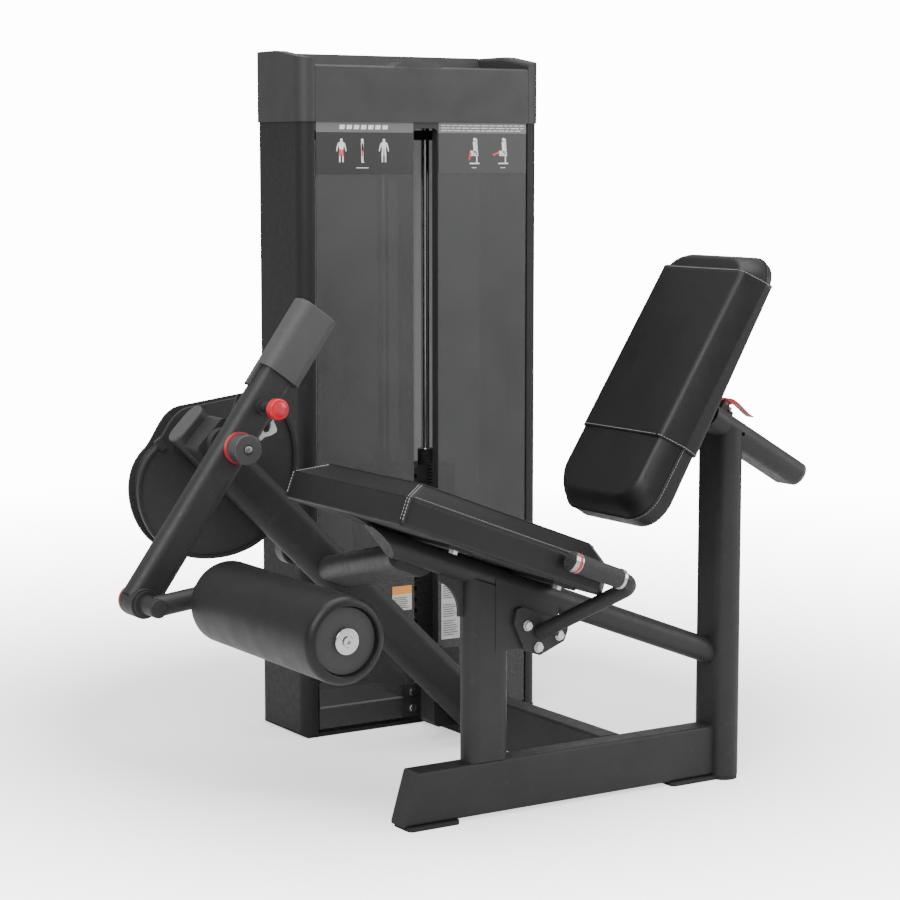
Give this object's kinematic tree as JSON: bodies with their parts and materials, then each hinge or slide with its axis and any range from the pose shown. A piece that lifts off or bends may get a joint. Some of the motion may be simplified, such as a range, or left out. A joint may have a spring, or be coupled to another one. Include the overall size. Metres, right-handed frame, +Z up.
{
  "type": "leg extension machine",
  "caption": "Selectorized leg extension machine with a covered weight tower, cam and swinging ankle roller, padded seat and sliding backrest.",
  "frame": {"origin": "centre of the weight tower's footprint, on the floor", "axes": "+X along the tower front towards the back support, +Y away from the user's side, +Z up"},
  "size_m": [1.3221, 1.1649, 1.461],
  "materials": {
    "base_frame": "textured charcoal powder coat",
    "foot_pads": "black rubber",
    "frame_posts": "textured charcoal powder coat",
    "seat_frame": "textured charcoal powder coat",
    "crossbar": "textured charcoal powder coat",
    "swing_beam": "textured charcoal powder coat",
    "tube_end_caps": "light grey soft plastic",
    "bearing_housing": "textured charcoal powder coat",
    "bearing_bushes": "oilite bush",
    "belt_guides": "textured charcoal powder coat",
    "static_belts": "ribbed black belt",
    "weight_plates": "black painted weight plate",
    "guide_rods": "polished",
    "stack_buffers": "black rubber",
    "tower_base": "fine-textured dark grey powder coat",
    "tower_frame": "fine-textured dark grey powder coat",
    "tower_covers": "fine-textured dark grey powder coat",
    "front_panels": "smoked semi-gloss sheet",
    "channel_trim": "dark satin trim",
    "labels": "printed instruction strips",
    "top_cap": "moulded dark grey plastic",
    "cap_ends": "moulded dark grey plastic",
    "frame_bolts": "polished",
    "seat_board": "black base board",
    "seat_cushion": "black upholstery vinyl with white stitching",
    "handle_tubes": "textured charcoal powder coat",
    "handle_grips": "black rubber",
    "grip_ends": "red",
    "receiver": "textured charcoal powder coat",
    "pivot_shaft": "machined steel",
    "cam_sides": "dark grey painted plate",
    "cam_core": "dark grey painted plate",
    "cam_rim": "black rubber",
    "cam_belt": "ribbed black belt",
    "index_plate": "textured charcoal powder coat",
    "lever_arm": "textured charcoal powder coat",
    "arm_sleeve": "light grey soft plastic",
    "lever_rings": "red",
    "lever_caps": "moulded dark grey plastic",
    "pointer": "machined steel",
    "pull_pin": "machined steel",
    "pull_knob": "red",
    "pad_link": "textured charcoal powder coat",
    "roller_shaft": "polished",
    "roller_core": "moulded dark grey plastic",
    "roller_foam": "black moulded foam skin",
    "lifted_stack": "black painted weight plate",
    "rod_bushes": "black rubber",
    "selector_stem": "machined steel",
    "lanyard": "black rubber",
    "lift_belt": "ribbed black belt",
    "selector_pin": "red",
    "top_pulley": "dark nylon pulley",
    "low_pulley": "dark nylon pulley",
    "guide_pulley": "dark nylon pulley",
    "back_cushion": "black upholstery vinyl with white stitching",
    "back_sleeve": "black upholstery vinyl with white stitching",
    "back_slider": "textured charcoal powder coat",
    "release_lever": "red",
    "lock_pin": "machined steel"
  },
  "bodies": {
    "frame": {"base_frame": "base_frame", "foot_pads": "foot_pads", "frame_posts": "frame_posts", "seat_frame": "seat_frame", "crossbar": "crossbar", "swing_beam": "swing_beam", "tube_end_caps": "tube_end_caps", "bearing_housing": "bearing_housing", "bearing_bushes": "bearing_bushes", "belt_guides": "belt_guides", "static_belts": "static_belts", "weight_plates": "weight_plates", "guide_rods": "guide_rods", "stack_buffers": "stack_buffers", "tower_base": "tower_base", "tower_frame": "tower_frame", "tower_covers": "tower_covers", "front_panels": "front_panels", "channel_trim": "channel_trim", "labels": "labels", "top_cap": "top_cap", "cap_ends": "cap_ends", "frame_bolts": "frame_bolts", "seat_board": "seat_board", "seat_cushion": "seat_cushion", "handle_tubes": "handle_tubes", "handle_grips": "handle_grips", "grip_ends": "grip_ends", "receiver": "receiver"},
    "cam": {"pivot_shaft": "pivot_shaft", "cam_sides": "cam_sides", "cam_core": "cam_core", "cam_rim": "cam_rim", "cam_belt": "cam_belt", "index_plate": "index_plate"},
    "lever": {"lever_arm": "lever_arm", "arm_sleeve": "arm_sleeve", "lever_rings": "lever_rings", "lever_caps": "lever_caps", "pointer": "pointer"},
    "pull_pin": {"pull_pin": "pull_pin", "pull_knob": "pull_knob"},
    "pad_link": {"pad_link": "pad_link", "roller_shaft": "roller_shaft"},
    "roller": {"roller_core": "roller_core", "roller_foam": "roller_foam"},
    "moving_stack": {"lifted_stack": "lifted_stack", "rod_bushes": "rod_bushes", "selector_stem": "selector_stem", "lanyard": "lanyard", "lift_belt": "lift_belt"},
    "selector_pin": {"selector_pin": "selector_pin"},
    "top_pulley": {"top_pulley": "top_pulley"},
    "low_pulley": {"low_pulley": "low_pulley"},
    "guide_pulley": {"guide_pulley": "guide_pulley"},
    "backrest": {"back_cushion": "back_cushion", "back_sleeve": "back_sleeve", "back_slider": "back_slider"},
    "release_lever": {"release_lever": "release_lever"},
    "lock_pin": {"lock_pin": "lock_pin"}
  },
  "joints": [
    {"name": "cam_lift", "type": "hinge", "parent": "frame", "child": "cam", "pos_m": [-0.641, -0.237, 0.688], "axis": [0, 1, 0], "range_deg": [0, 80]},
    {"name": "arm_start", "type": "hinge", "parent": "cam", "child": "lever", "pos_m": [-0.641, -0.44, 0.688], "axis": [0, 1, 0], "range_deg": [-12, 0]},
    {"name": "pin_pull", "type": "slide", "parent": "lever", "child": "pull_pin", "axis": [0, -1, 0], "range_m": [0, 0.012]},
    {"name": "pad_tilt", "type": "hinge", "parent": "lever", "child": "pad_link", "pos_m": [-0.84134, -0.47, 0.40713], "axis": [0, 1, 0], "range_deg": [-15, 15]},
    {"name": "roller_spin", "type": "hinge", "parent": "pad_link", "child": "roller", "pos_m": [-0.729, -0.8075, 0.42], "axis": [0, 1, 0], "continuous": true},
    {"name": "stack_lift", "type": "slide", "parent": "frame", "child": "moving_stack", "axis": [0, 0, 1], "range_m": [0, 0.29], "deforming": ["lift_belt"]},
    {"name": "selector_pull", "type": "slide", "parent": "moving_stack", "child": "selector_pin", "axis": [0, -1, 0], "range_m": [0, 0.045]},
    {"name": "guide_pulley_spin", "type": "hinge", "parent": "frame", "child": "guide_pulley", "pos_m": [-0.4, -0.237, 0.4446], "axis": [0, 1, 0], "range_deg": [-455, 0]},
    {"name": "top_pulley_spin", "type": "hinge", "parent": "frame", "child": "top_pulley", "pos_m": [0.005, 0.0355, 1.23], "axis": [1, 0, 0], "range_deg": [-385, 0]},
    {"name": "low_pulley_spin", "type": "hinge", "parent": "frame", "child": "low_pulley", "pos_m": [0.005, 0.0475, 0.074], "axis": [1, 0, 0], "range_deg": [-530, 0]},
    {"name": "back_slide", "type": "slide", "parent": "frame", "child": "backrest", "axis": [-0.8643, 0, 0.503], "range_m": [0, 0.1]},
    {"name": "release_press", "type": "hinge", "parent": "frame", "child": "release_lever", "pos_m": [0.26254, -0.802, 0.75414], "axis": [0, -1, 0], "range_deg": [0, 25]},
    {"name": "lock_lift", "type": "slide", "parent": "frame", "child": "lock_pin", "axis": [0.503, 0, 0.8643], "range_m": [0, 0.0122]}
  ],
  "couplings": [
    {"joint": "stack_lift", "follows": "cam_lift", "m_per_rad": 0.2067},
    {"joint": "guide_pulley_spin", "follows": "cam_lift", "ratio": -5.632},
    {"joint": "top_pulley_spin", "follows": "cam_lift", "ratio": -4.752},
    {"joint": "low_pulley_spin", "follows": "cam_lift", "ratio": -6.562},
    {"joint": "lock_lift", "follows": "release_press", "m_per_rad": 0.0275}
  ]
}
